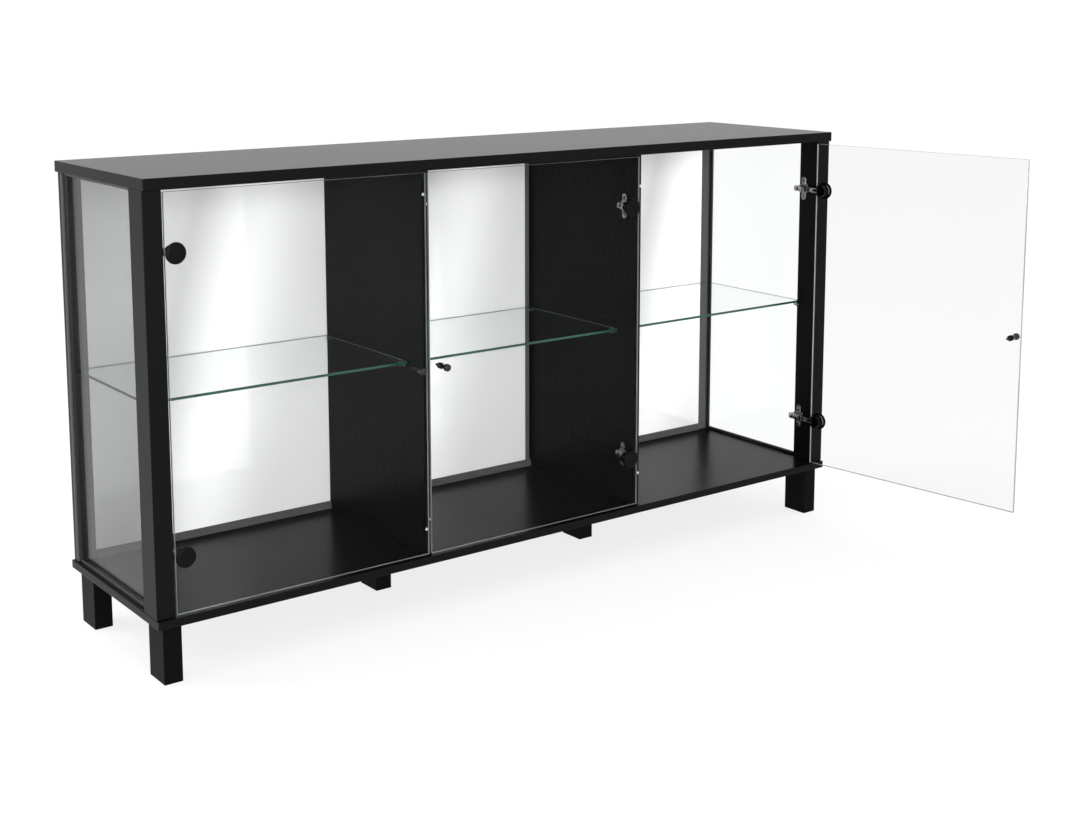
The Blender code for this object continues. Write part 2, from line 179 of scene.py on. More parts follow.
class Shader:
    """A material under construction: its node tree, its Principled shader and a few shorthands."""

    def __init__(self, name, **values):
        self.material = bpy.data.materials.new(name)
        self.material.use_nodes = True
        self.tree = self.material.node_tree
        self.bsdf = self.tree.nodes["Principled BSDF"]
        self.out = self.tree.nodes["Material Output"]
        self.place = None
        for key, value in values.items():
            self.bsdf.inputs[key.replace("_", " ")].default_value = value

    def node(self, kind, **inputs):
        made = self.tree.nodes.new(kind)
        for key, value in inputs.items():
            made.inputs[key.replace("_", " ")].default_value = value
        return made

    def link(self, source, target):
        self.tree.links.new(source, target)

    def coordinates(self, turn=(0, 0, 0)):
        """Object coordinates, which stay with a piece when it moves."""
        if self.place is None:
            self.place = self.node("ShaderNodeTexCoord").outputs["Object"]
        mapping = self.node("ShaderNodeMapping", Rotation=turn)
        self.link(self.place, mapping.inputs["Vector"])
        return mapping.outputs["Vector"]

    def noise(self, scale, detail=3.0):
        made = self.node("ShaderNodeTexNoise", Scale=scale, Detail=detail)
        self.link(self.coordinates(), made.inputs["Vector"])
        return made.outputs["Fac"]

    def spread(self, source, low, high, start=0.2, end=0.8):
        """source, from start to end, eased into a value from low to high."""
        made = self.node("ShaderNodeMapRange", From_Min=start, From_Max=end, To_Min=low, To_Max=high)
        made.interpolation_type = "SMOOTHSTEP"
        self.link(source, made.inputs["Value"])
        return made.outputs["Result"]

    def blend(self, source, first, second):
        made = self.tree.nodes.new("ShaderNodeMix")
        made.data_type = "RGBA"
        factor, ends, result = made.inputs[0], (made.inputs[6], made.inputs[7]), made.outputs[2]
        for socket, colour in zip(ends, (first, second)):
            socket.default_value = (*colour, 1)
        self.link(source, factor)
        return result

    def colour(self, source, first, second):
        self.link(self.blend(source, first, second), self.bsdf.inputs["Base Color"])

    def roughness(self, source, low, high):
        self.link(self.spread(source, low, high), self.bsdf.inputs["Roughness"])

    def bump(self, source, distance):
        made = self.node("ShaderNodeBump", Strength=1.0, Distance=distance)
        self.link(source, made.inputs["Height"])
        self.link(made.outputs["Normal"], self.bsdf.inputs["Normal"])


def board_finish(name, sheen):
    """Black melamine: an even satin black, clouded a very little."""
    made = Shader(name, Specular_IOR_Level=sheen, Roughness=BOARD_ROUGHNESS)
    cloud = made.spread(made.noise(2.0, 1.0), 0, 1, 0.0, 1.0)
    made.colour(cloud, (0.0026, 0.0026, 0.0028), (0.0030, 0.0030, 0.0032))
    return made.material


def rear_board_painted_light_finish():
    """The same black on the rear posts, the rail and the back, with painted light: paler on the faces beside the
    mirrors.
    """
    made = Shader("black_melamine_rear_painted_light", Specular_IOR_Level=0.06, Roughness=BOARD_ROUGHNESS)
    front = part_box("left_rear_post")[0].y
    depth = made.tree.nodes.new("ShaderNodeSeparateXYZ")
    made.link(made.coordinates(), depth.inputs["Vector"])
    # Painted light: the front few millimetres, by the mirrors, are painted paler
    back = made.spread(depth.outputs["Y"], 0, 1, front + REAR_PAINTED_LIGHT_DEPTH, front + 2 * REAR_PAINTED_LIGHT_DEPTH)
    made.colour(back, (0.070, 0.070, 0.072), (0.0028, 0.0028, 0.0030))
    return made.material


def glass_finish(name, tint, bend):
    """Clear glass. Lamps shine through it as through a pane."""
    made = Shader(name, Base_Color=(*tint, 1), Roughness=0.0, IOR=bend, Transmission_Weight=1.0)
    through = made.node("ShaderNodeBsdfTransparent", Color=(*tint, 1))
    mix = made.node("ShaderNodeMixShader")
    made.link(made.node("ShaderNodeLightPath").outputs["Is Shadow Ray"], mix.inputs["Fac"])
    made.link(made.bsdf.outputs["BSDF"], mix.inputs[1])
    made.link(through.outputs["BSDF"], mix.inputs[2])
    made.link(mix.outputs["Shader"], made.out.inputs["Surface"])
    return made.material


def edge_finish(name, deep, pale, rough):
    """A ground and polished glass edge, which gathers the glass's own green, with a fine grain."""
    made = Shader(name, Specular_IOR_Level=0.6)
    made.colour(made.spread(made.noise(9.0, 3.0), 0, 1), deep, pale)
    made.roughness(made.noise(700.0, 2.0), rough, rough + 0.12)
    return made.material


def mirror_painted_reflection_finish():
    """Silvered glass, a little truly metallic, with a painted reflection of a soft studio sky: a bright slanting
    band between two pale grey ones.
    """
    made = Shader("mirror_silver_painted_reflection", Metallic=0.08)
    painted_reflection_coords = made.tree.nodes.new("ShaderNodeSeparateXYZ")
    made.link(made.coordinates((0, PAINTED_REFLECTION_SLANT, 0)), painted_reflection_coords.inputs["Vector"])
    painted_reflection_ramp = made.tree.nodes.new("ShaderNodeValToRGB")
    painted_reflection_ramp.color_ramp.interpolation = "B_SPLINE"
    for place, grey in PAINTED_REFLECTION_GREYS.items():
        stop = painted_reflection_ramp.color_ramp.elements.new(place)
        stop.color = (grey, grey, grey, 1)
    for spare in (painted_reflection_ramp.color_ramp.elements[-1], painted_reflection_ramp.color_ramp.elements[0]):
        if len(painted_reflection_ramp.color_ramp.elements) > len(PAINTED_REFLECTION_GREYS):
            painted_reflection_ramp.color_ramp.elements.remove(spare)
    shift = made.node("ShaderNodeMapRange", From_Min=-PAINTED_REFLECTION_REACH, From_Max=PAINTED_REFLECTION_REACH)
    made.link(painted_reflection_coords.outputs["X"], shift.inputs["Value"])
    made.link(shift.outputs["Result"], painted_reflection_ramp.inputs["Fac"])
    # Painted reflection: the band's greys go into the silver's base colour
    made.link(painted_reflection_ramp.outputs["Color"], made.bsdf.inputs["Base Color"])
    made.roughness(made.noise(4.0), 0.05, 0.08)
    return made.material


def steel_finish():
    made = Shader("nickel_plate", Metallic=1.0)
    made.colour(made.spread(made.noise(90.0, 4.0), 0, 1), (0.20, 0.197, 0.192), (0.31, 0.304, 0.296))
    made.roughness(made.noise(260.0, 3.0), 0.18, 0.32)
    return made.material


def plastic_finish():
    made = Shader("black_plastic", Specular_IOR_Level=0.06)
    made.colour(made.spread(made.noise(40.0), 0, 1), (0.0016, 0.0016, 0.0018), (0.0026, 0.0026, 0.0028))
    made.roughness(made.noise(60.0), 0.28, 0.38)
    made.bump(made.noise(2500.0, 2.0), 0.00002)
    return made.material


def bead_finish():
    """The dark rubber of the glazing beads, a little paler than the boards."""
    made = Shader("black_rubber", Specular_IOR_Level=0.2, Roughness=0.3)
    shade = made.spread(made.noise(3.0, 1.0), 0, 1, 0.0, 1.0)
    made.colour(shade, (0.0110, 0.0110, 0.0115), (0.0130, 0.0130, 0.0135))
    return made.material


def knob_finish():
    made = Shader("black_knob", Metallic=0.5)
    made.colour(made.spread(made.noise(50.0), 0, 1), (0.010, 0.010, 0.011), (0.016, 0.016, 0.017))
    made.roughness(made.noise(120.0), 0.20, 0.30)
    return made.material


def silicone_finish():
    """Clear rubber, for the bumpers."""
    made = Shader("clear_silicone", Base_Color=(0.86, 0.89, 0.88, 1), IOR=1.41, Transmission_Weight=0.45)
    made.roughness(made.noise(300.0), 0.08, 0.18)
    return made.material


BOARD = board_finish("black_melamine", 0.06)
INNER_BOARD = board_finish("black_melamine_inner", 0.035)
LEG_BOARD = board_finish("black_leg_paint", 0.02)
REAR_BOARD_PAINTED_LIGHT = rear_board_painted_light_finish()
DOOR_GLASS = glass_finish("door_glass", (0.903, 0.908, 0.906), 1.08)
# The left pane's grey tint is painted shade, a darker copy of the same glass; the right pane's pale tint is its
# own
SIDE_GLASS_PAINTED_SHADE_LEFT = {
    "left": glass_finish("left_side_glass", (0.51, 0.515, 0.515), 1.2),
    "right": glass_finish("right_side_glass", (0.94, 0.95, 0.95), 1.2),
}
SHELF_GLASS = glass_finish("shelf_glass", (0.95, 0.975, 0.970), 1.2)
DOOR_EDGE = edge_finish("door_edge", (0.15, 0.165, 0.162), (0.25, 0.27, 0.265), 0.10)
SHELF_EDGE = edge_finish("shelf_edge", (0.003, 0.032, 0.023), (0.007, 0.058, 0.042), 0.10)
MIRROR_PAINTED_REFLECTION = mirror_painted_reflection_finish()
STEEL = steel_finish()
PLASTIC = plastic_finish()
BEAD = bead_finish()
KNOB = knob_finish()
SILICONE = silicone_finish()

BY_SLOT = {
    "black_board": BOARD, "clear_glass": DOOR_GLASS, "mirror_glass": MIRROR_PAINTED_REFLECTION,
    "nickel_steel": STEEL, "black_plastic": PLASTIC, "black_metal": KNOB,
}


def finish_of(name):
    if name in ("rear_rail", "back_panel") or name.endswith("_rear_post"):
        return REAR_BOARD_PAINTED_LIGHT
    if name.endswith("_divider"):
        return INNER_BOARD
    if name.endswith("_leg"):
        return LEG_BOARD
    return BY_SLOT[SLOT_OF[name]]


def paint_nodes():
    for name, obj in NODES.items():
        obj.data.materials.clear()
        obj.data.materials.append(finish_of(name))


# ---------------------------------------------------------------- mesh helpers


def piece(name, mesh, matrix, body, slot, *nodes):
    """A new piece of the showcase on a body, in place of the CAD nodes that it stands for."""
    obj = bpy.data.objects.new(name, mesh)
    bpy.context.scene.collection.objects.link(obj)
    obj.matrix_world = matrix
    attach(obj, body)
    if nodes:
        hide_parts(*nodes)


def finished(cells, name, finishes, sharp=40):
    """The bmesh as a mesh, shaded smooth up to an angle."""
    bmesh.ops.recalc_face_normals(cells, faces=cells.faces)
    mesh = bpy.data.meshes.new(name)
    cells.to_mesh(mesh)
    cells.free()
    for finish in finishes:
        mesh.materials.append(finish)
    mesh.shade_smooth()
    mesh.set_sharp_from_angle(angle=math.radians(sharp))
    return mesh


def rectangle(low, high, radius, steps=5):
    """A rectangle with rounded corners, as (u, v) points."""
    points = []
    for corner, (across, up) in enumerate(((1, 1), (-1, 1), (-1, -1), (1, -1))):
        middle_u = (high[0] if across > 0 else low[0]) - across * radius
        middle_v = (high[1] if up > 0 else low[1]) - up * radius
        for step in range(steps + 1):
            angle = math.pi / 2 * (corner + step / steps)
            points.append((middle_u + radius * math.cos(angle), middle_v + radius * math.sin(angle)))
    return points


def circle(centre, radius, steps=48):
    """A hole's outline, wound the other way round from a rectangle."""
    turns = [-2 * math.pi * step / steps for step in range(steps)]
    return [(centre[0] + radius * math.cos(turn), centre[1] + radius * math.sin(turn)) for turn in turns]


def inset(loop, amount):
    """The loop moved into the solid: inward on an outline, outward on a hole."""
    moved = []
    for index, point in enumerate(loop):
        before, after = Vector(loop[index - 1]), Vector(loop[(index + 1) % len(loop)])
        ahead = (after - before).normalized()
        moved.append((point[0] - ahead.y * amount, point[1] + ahead.x * amount))
    return moved


def flat(u, v, w):
    """A drawing on the XY plane, with its depth along Z."""
    return (u, v, w)


def frontal(u, v, w):
    """A drawing on the XZ plane, with its depth along Y."""
    return (u, w, v)


def sideways(u, v, w):
    """A drawing on the YZ plane, with its depth along X."""
    return (w, u, v)


def add_slab(cells, loops, low, high, arris, place=flat, faces_at=0, edge_at=0):
    """A slab with holes: loops[0] is its outline and the others are its holes, from depth low to high."""
    levels = ((low, arris), (low + arris, 0.0), (high - arris, 0.0), (high, arris))
    rings = []
    for depth, amount in levels:
        drawn = [inset(loop, amount) for loop in loops] if amount else loops
        rings.append([[cells.verts.new(place(u, v, depth)) for u, v in loop] for loop in drawn])
    for lower, upper in zip(rings, rings[1:]):
        for first, second in zip(lower, upper):
            for index in range(len(first)):
                after = (index + 1) % len(first)
                face = cells.faces.new((first[index], first[after], second[after], second[index]))
                face.material_index = edge_at
    drawn = [[Vector((u, v, 0)) for u, v in inset(loop, arris)] for loop in loops]
    for ring in (rings[0], rings[-1]):
        verts = [vert for loop in ring for vert in loop]
        for corners in tessellate_polygon(drawn):
            cells.faces.new([verts[corner] for corner in corners]).material_index = faces_at


def add_turned(cells, profile, steps=40, place=flat, finish_at=0):
    """A turned solid. The profile lists (radius, height), starting and ending on the axis."""
    rings = []
    for radius, height in profile:
        if radius == 0:
            rings.append([cells.verts.new(place(0, 0, height))])
            continue
        turns = [2 * math.pi * step / steps for step in range(steps)]
        rings.append([
            cells.verts.new(place(radius * math.cos(turn), radius * math.sin(turn), height))
            for turn in turns
        ])
    for first, second in zip(rings, rings[1:]):
        for index in range(steps):
            after = (index + 1) % steps
            corners = [
                first[index % len(first)], first[after % len(first)],
                second[after % len(second)], second[index % len(second)],
            ]
            unique = list(dict.fromkeys(corners))
            cells.faces.new(unique).material_index = finish_at


def disc(radius, start, end):
    """A plain disc's profile."""
    return [(0, start), (radius, start), (radius, end), (0, end)]


def rounded(profile, radius, steps=3):
    """The profile with each corner off the axis rounded by up to the radius."""
    drawn = [profile[0]]
    for before, point, after in zip(profile, profile[1:], profile[2:]):
        corner = Vector(point)
        back, ahead = Vector(before) - corner, Vector(after) - corner
        cut = min(radius, back.length * 0.45, ahead.length * 0.45)
        start, end = corner + back.normalized() * cut, corner + ahead.normalized() * cut
        for step in range(steps + 1):
            share = step / steps
            drawn.append(tuple(
                start * (1 - share) ** 2 + corner * 2 * share * (1 - share) + end * share ** 2
            ))
    drawn.append(profile[-1])
    return drawn


def add_loft(cells, sections):
    """A closed solid through sections that all have the same number of points."""
    rings = [[cells.verts.new(point) for point in section] for section in sections]
    for first, second in zip(rings, rings[1:]):
        for index in range(len(first)):
            after = (index + 1) % len(first)
            cells.faces.new((first[index], first[after], second[after], second[index]))
    for ring in (rings[0], rings[-1]):
        cells.faces.new(ring)


def handed(mesh, hand):
    """Mirrors a mesh along X for the doors that run the other way."""
    if hand < 0:
        mesh.transform(Matrix.Scale(-1, 4, (1, 0, 0)))
        mesh.flip_normals()
    return mesh


def carved(mesh, cutter, name, finishes, sharp):
    """The mesh with another one cut out of it."""
    scene = bpy.context.scene.collection
    body, tool = bpy.data.objects.new("carved", mesh), bpy.data.objects.new("tool", cutter)
    for obj in (body, tool):
        scene.objects.link(obj)
    step = body.modifiers.new("cut", "BOOLEAN")
    step.operation, step.solver, step.object = "DIFFERENCE", "EXACT", tool
    bpy.context.view_layer.update()
    made = bpy.data.meshes.new_from_object(body.evaluated_get(bpy.context.evaluated_depsgraph_get()))
    for obj in (body, tool):
        bpy.data.objects.remove(obj)
    made.name = name
    made.materials.clear()
    for finish in finishes:
        made.materials.append(finish)
    made.shade_smooth()
    made.set_sharp_from_angle(angle=math.radians(sharp))
    return made


def local_box(node, matrix):
    """A node's lowest and highest corners in the axes of the matrix."""
    back = matrix.inverted()
    points = [back @ vert.co for vert in NODES[node].data.vertices]
    return tuple(
        Vector([pick(point[axis] for point in points) for axis in range(3)]) for pick in (min, max)
    )


# ---------------------------------------------------------------- glass, mirrors


def upright(name):
    """The middle of a node's box, as a place for an upright piece, and half of its size."""
    low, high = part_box(name)
    return Matrix.Translation((low + high) / 2), (high - low) / 2


def side_panes():
    for word in SIDES:
        node = f"{word}_side_glass"
        matrix, half = upright(node)
        cells = bmesh.new()
        outline = rectangle((-half.y, -half.z), (half.y, half.z), PANE_CORNER)
        add_slab(cells, [outline], -half.x, half.x, ARRIS, sideways, edge_at=1)
        mesh = finished(cells, f"{word}_side_pane", (SIDE_GLASS_PAINTED_SHADE_LEFT[word], DOOR_EDGE))
        piece(f"{word}_side_pane", mesh, matrix, "showcase", "clear_glass", node)


def shelves():
    for word in WORDS:
        node = f"{word}_shelf"
        matrix, half = upright(node)
        cells = bmesh.new()
        outline = rectangle((-half.x, -half.y), (half.x, half.y), SHELF_CORNER)
        add_slab(cells, [outline], -half.z, half.z, ARRIS, edge_at=1)
        mesh = finished(cells, f"{word}_shelf_pane", (SHELF_GLASS, SHELF_EDGE))
        piece(f"{word}_shelf_pane", mesh, matrix, "showcase", "clear_glass", node)


def mirrors():
    """The mirrors. A mirror's origin is the middle of its painted bright band."""
    for word, band in PAINTED_REFLECTION_PLACES.items():
        node = f"{word}_mirror"
        matrix, half = upright(node)
        matrix @= Matrix.Translation((band, 0, 0))
        cells = bmesh.new()
        outline = rectangle((-half.x - band, -half.z), (half.x - band, half.z), PANE_CORNER)
        add_slab(cells, [outline], -half.y, half.y, ARRIS, frontal, edge_at=1)
        mesh = finished(cells, f"{word}_mirror_pane", (MIRROR_PAINTED_REFLECTION, DOOR_EDGE))
        piece(f"{word}_mirror_pane", mesh, matrix, "showcase", "mirror_glass", node)


# ---------------------------------------------------------------- doors and hinges


def door_axes(word):
    """A door's hand, its own axes (X along it, Y inward, Z up from the floor) and its hinge's place."""
    joint = JOINTS[f"{word}_door"]
    hand = round(-joint["axis"][2])
    opened = math.radians(-min(joint["range_deg"]))
    x, y, _ = joint["pos_m"]
    turn = Matrix.Rotation(-hand * opened, 4, "Z")
    return hand, Matrix.Translation((x, y, 0)) @ turn, Matrix.Translation((x, y, 0))


def door_pane(word, hand, axes):
    low, high = local_box(f"{word}_door_glass", axes)
    start, end = sorted((abs(low.x), abs(high.x)))
    holes = []
    for level in ("lower", "upper"):
        near, far = local_box(f"{word}_{level}_hinge_cup", axes)
        holes.append(circle((abs(near.x + far.x) / 2, (near.z + far.z) / 2), CUP_HOLE))
    near, far = local_box(f"{word}_door_knob", axes)
    holes.append(circle((abs(near.x + far.x) / 2, (near.z + far.z) / 2), KNOB_HOLE, 24))
    cells = bmesh.new()
    outline = rectangle((start, low.z), (end, high.z), PANE_CORNER)
    add_slab(cells, [outline, *holes], low.y, high.y, ARRIS, frontal, edge_at=1)
    mesh = handed(finished(cells, f"{word}_door_pane", (DOOR_GLASS, DOOR_EDGE)), hand)
    piece(f"{word}_door_pane", mesh, axes, f"{word}_door", "clear_glass", f"{word}_door_glass")


def door_knob(word, hand, axes):
    """The pull in front of the glass and its nut and screw behind it."""
    low, high = local_box(f"{word}_door_knob", axes)
    pane_low, pane_high = local_box(f"{word}_door_glass", axes)
    middle = (low + high) / 2
    head = (high.x - low.x) / 2
    front, back, tip = pane_low.y - GASKET, pane_high.y + GASKET, low.y

    def place(x, y, z):
        return (abs(middle.x) + x, z, middle.z + y)

    pull = [
        (0, tip), (head - 0.0018, tip), (head, tip + 0.0018), (head, tip + 0.0075),
        (KNOB_WAIST, tip + 0.0130), (KNOB_WAIST, front - 0.0055),
        (KNOB_FOOT, front - 0.0022), (KNOB_FOOT, front - 0.0002), (0, front - 0.0002),
    ]
    cells = bmesh.new()
    add_turned(cells, rounded(pull, 0.0012, 4), 48, place)
    name = f"{word}_knob_pull"
    mesh = handed(finished(cells, name, (KNOB,), 30), hand)
    piece(name, mesh, axes, f"{word}_door", "black_metal", f"{word}_door_knob")
    cells = bmesh.new()
    add_turned(cells, rounded(disc(WASHER_RADIUS, back, back + WASHER_END), 0.0003), 40, place, 1)
    add_turned(cells, rounded(disc(NUT_RADIUS, back + WASHER_END, back + NUT_END), 0.0005), 6, place)
    add_turned(cells, rounded(disc(KNOB_SCREW_RADIUS, back + NUT_END, high.y), 0.0004), 24, place)
    name = f"{word}_knob_screw"
    mesh = handed(finished(cells, name, (KNOB, PLASTIC), 30), hand)
    piece(name, mesh, axes, f"{word}_door", "black_metal")


def hinge_cup(word, level, hand, axes):
    """The cover cap in front of the glass, and behind it the flange and the open cup for the link."""
    node = f"{word}_{level}_hinge_cup"
    low, high = local_box(node, axes)
    pane_low, pane_high = local_box(f"{word}_door_glass", axes)
    middle = (low + high) / 2
    along = abs(middle.x)
    cap, bore, floor = (high.x - low.x) / 2, CUP_RADIUS - CUP_WALL, pane_low.y + CUP_FLOOR
    front, back = pane_low.y - GASKET, pane_high.y + GASKET

    def place(x, y, z):
        return (along + x, z, middle.z + y)

    profile = [
        (0, low.y), (cap - 0.0045, low.y), (cap - 0.0035, low.y + 0.0004), (cap - 0.0012, low.y + 0.0004),
        (cap, low.y + 0.0016), (cap, front), (CUP_RADIUS, front), (CUP_RADIUS, back),
        (FLANGE_RADIUS, back), (FLANGE_RADIUS, back + FLANGE_END), (CUP_RADIUS, back + FLANGE_END),
        (CUP_RADIUS, high.y), (bore, high.y), (bore, floor), (0, floor),
    ]
    cells = bmesh.new()
    add_turned(cells, rounded(profile, 0.0006), 64, place)
    body = finished(cells, node, (PLASTIC,))
    under, over, past = middle.z - NOTCH_HALF, middle.z + NOTCH_HALF, high.y + CUT_PAST
    cells = bmesh.new()
    notch = rectangle(
        (along - CUP_RADIUS - CUT_PAST, under), (along - CUP_RADIUS / 2, over), NOTCH_CORNER
    )
    add_slab(cells, [notch], NOTCH_START, past, ARRIS, frontal)
    pocket = rectangle((along, under), (along + CUP_RADIUS - POCKET_SKIN, over), POCKET_CORNER)
    add_slab(cells, [pocket], POCKET_START, past, ARRIS, frontal)
    tool = finished(cells, "notch", ())
    name = f"{word}_{level}_cup_body"
    mesh = handed(carved(body, tool, name, (PLASTIC,), 35), hand)
    piece(name, mesh, axes, f"{word}_door", "black_plastic", node)


def add_screw(cells, centre, facing, radius, high):
    """A pan head with a dark cross in it as painted shade of its recess, which takes the mesh's second finish."""
    turn = Vector((0, 0, 1)).rotation_difference(Vector(facing)).to_matrix()

    def place(x, y, z):
        return Vector(centre) + turn @ Vector((x, y, z))

    dome = [
        (0, high), (radius * 0.35, high * 0.96), (radius * 0.72, high * 0.78),
        (radius * 0.94, high * 0.42), (radius, 0), (0, 0),
    ]
    add_turned(cells, dome, 24, place)
    wide, long = radius * 0.13, radius * 0.58
    arm = ((wide, wide), (wide, long), (-wide, long))
    painted_shade_cross = []
    for quarter in range(4):
        spin = Matrix.Rotation(math.pi / 2 * quarter, 2)
        painted_shade_cross += [tuple(spin @ Vector(point)) for point in arm]
    # Painted shade: a black cross stands in the head where the recess's shade would be
    add_slab(cells, [painted_shade_cross], high * 0.5, high * 1.04, high * 0.02, place, 1, 1)


def hinge_arm(word, level, hand, place_at):
    """The pressed arm and its mounting plate on the board, with their screws."""
    node = f"{word}_{level}_hinge_arm"
    height = JOINTS[f"{word}_{level}_link"]["pos_m"][2]
    matrix = place_at @ Matrix.Translation((0, 0, height))
    low, high = local_box(node, matrix)
    base, top = (low.x, high.x) if hand > 0 else (-high.x, -low.x)
    end = high.y
    cells = bmesh.new()

    def section(inward, half, bottom, crown, round_by):
        """A rounded rectangle across the arm at one place along it."""
        outline = rectangle((bottom, -half), (crown, half), round_by, 3)
        return [(u, inward, v) for u, v in outline]

    add_loft(cells, [
        section(0.0200, ARM_HALF - 0.0012, base + 0.0040, top - 0.0006, 0.0010),
        section(0.0212, ARM_HALF, base + 0.0032, top, 0.0016),
        section(0.0300, ARM_HALF, base + 0.0004, top, 0.0016),
        section(end - 0.0060, ARM_HALF, base + 0.0004, top, 0.0016),
        section(end - 0.0015, ARM_HALF - 0.0008, base + 0.0004, top - 0.0022, 0.0012),
        section(end, ARM_HALF - 0.0020, base + 0.0008, top - 0.0044, 0.0010),
    ])
    ear = rectangle((0.0074, 0.0100), (top, 0.0240), 0.0030, 6)
    for start, stop in ((-FORK_OUTER, -FORK_INNER), (FORK_INNER, FORK_OUTER)):
        add_slab(cells, [ear], start, stop, 0.0003)
    middle = (WING_START + WING_END) / 2
    plate_top = base + PLATE_THICK
    wings = rectangle((middle - WING_HALF, low.z), (middle + WING_HALF, high.z), 0.0060, 8)
    rises = (-PLATE_SCREW_RISE, PLATE_SCREW_RISE)
    holes = [circle((middle, rise), PLATE_HOLE, 24) for rise in rises]
    add_slab(cells, [wings, *holes], base, plate_top, ARRIS, sideways)
    wide = rectangle((WING_START, -PLATE_HALF), (WING_END, PLATE_HALF), 0.0025, 5)
    add_slab(cells, [wide], base, plate_top + PLATE_STEP, ARRIS, sideways)
    for rise in rises:
        add_screw(cells, (plate_top - SCREW_SUNK, middle, rise), (1, 0, 0), PLATE_SCREW_RADIUS, 0.0016)
    for inward, radius in ((0.0345, 0.0034), (0.0480, 0.0040)):
        add_screw(cells, (top - SCREW_SUNK, inward, 0), (1, 0, 0), radius, 0.0012)
    name = f"{word}_{level}_arm_pressing"
    # The second finish is painted shade in the screws' cross recesses
    mesh = handed(finished(cells, name, (STEEL, PLASTIC), 35), hand)
    piece(name, mesh, matrix, "showcase", "nickel_steel", node)


def doors():
    for word in WORDS:
        hand, axes, place_at = door_axes(word)
        door_pane(word, hand, axes)
        door_knob(word, hand, axes)
        for level in ("lower", "upper"):
            hinge_cup(word, level, hand, axes)
            hinge_arm(word, level, hand, place_at)


# ---------------------------------------------------------------- small parts of the carcass


def shelf_pins():
    """Turned pins with a collar behind each stud, under the shelves."""
    for node in sorted(name for name in NODES if "_shelf_pin_" in name):
        low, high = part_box(node)
        size = high - low
        axis = 0 if size.x > size.y else 1
        middle = (low + high) / 2
        shelf = f"{node.split('_')[0]}_shelf"
        centre = (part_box(shelf)[0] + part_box(shelf)[1]) / 2
        inward = 1 if centre[axis] > middle[axis] else -1
        root = low[axis] if inward > 0 else high[axis]
        ahead = Vector((0, 0, 0))
        ahead[axis] = inward
        turn = Vector((0, 0, 1)).rotation_difference(ahead).to_matrix().to_4x4()
        origin = middle.copy()
        origin[axis] = root
        long = size[axis]
        face = long - STUD_LONG
        cells = bmesh.new()
        profile = [
            (0, long), (STUD_RADIUS, long), (STUD_RADIUS, face + 0.0016), (COLLAR_RADIUS, face + 0.0016),
            (COLLAR_RADIUS, face + 0.0001), (ROOT_RADIUS, face + 0.0001), (ROOT_RADIUS, 0), (0, 0),
        ]
        add_turned(cells, rounded(profile, 0.0005), 32)
        mesh = finished(cells, f"{node}_turned", (STEEL,), 35)
        piece(f"{node}_turned", mesh, Matrix.Translation(origin) @ turn, "showcase", "nickel_steel", node)


def bumpers():
    """Clear domes on the dividers' front edges, which the doors close against."""
    pairs = {
        "left": ("left_divider", -1, (0.168, 0.799)),
        "middle": ("left_divider", 1, (0.186, 0.781)),
        "right": ("right_divider", 1, (0.184, 0.779)),
    }
    dome = [(0, 0), (BUMPER_RADIUS, 0)]
    for step in range(1, BUMPER_STEPS + 1):
        angle = math.pi / 2 * step / BUMPER_STEPS
        radius = BUMPER_RADIUS * math.cos(angle) if step < BUMPER_STEPS else 0
        dome.append((radius, BUMPER_HIGH * math.sin(angle)))
    for word, (board, side, heights) in pairs.items():
        low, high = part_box(board)
        x = high.x - BUMPER_RADIUS if side > 0 else low.x + BUMPER_RADIUS
        cells = bmesh.new()
        for height in heights:
            add_turned(cells, dome, 24, lambda a, b, c, z=height: (a, -c, z + b))
        mesh = finished(cells, f"{word}_bumpers", (SILICONE,))
        matrix = Matrix.Translation((x, low.y, 0))
        piece(f"{word}_bumpers", mesh, matrix, "showcase", "clear_glass")


def glazing_beads():
    """A black bead round the outside of each end glass, mitred at its corners."""
    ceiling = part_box("top_panel")[0].z
    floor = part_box("base_panel")[1].z
    profile = [(0, BEAD_FOOT), (0, BEAD_WIDE)]
    for step in range(BEAD_STEPS + 1):
        angle = math.pi / 2 * (1 - step / BEAD_STEPS)
        rise = BEAD_HIGH - BEAD_ROUND + BEAD_ROUND * math.cos(angle)
        profile.append((rise, BEAD_WIDE - BEAD_ROUND + BEAD_ROUND * math.sin(angle)))
    profile.append((BEAD_HIGH, BEAD_FOOT))
    for word, side in SIDES.items():
        glass_low, glass_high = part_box(f"{word}_side_glass")
        outer = glass_high.x if side > 0 else glass_low.x
        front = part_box(f"{word}_front_post")[1].y + BEAD_CLEAR
        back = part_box(f"{word}_rear_post")[0].y - BEAD_CLEAR
        lower, upper = floor + BEAD_CLEAR, ceiling - BEAD_CLEAR
        corners = ((front, lower, 1, 1), (back, lower, -1, 1), (back, upper, -1, -1), (front, upper, 1, -1))
        cells = bmesh.new()
        rings = [
            [cells.verts.new((outer + side * out, y + dy * rise, z + dz * rise)) for rise, out in profile]
            for y, z, dy, dz in corners
        ]
        for index, ring in enumerate(rings):
            following = rings[(index + 1) % 4]
            for first in range(len(profile)):
                second = (first + 1) % len(profile)
                cells.faces.new((ring[first], ring[second], following[second], following[first]))
        mesh = finished(cells, f"{word}_glazing_bead", (BEAD,), 30)
        piece(f"{word}_glazing_bead", mesh, Matrix.Identity(4), "showcase", "black_plastic")


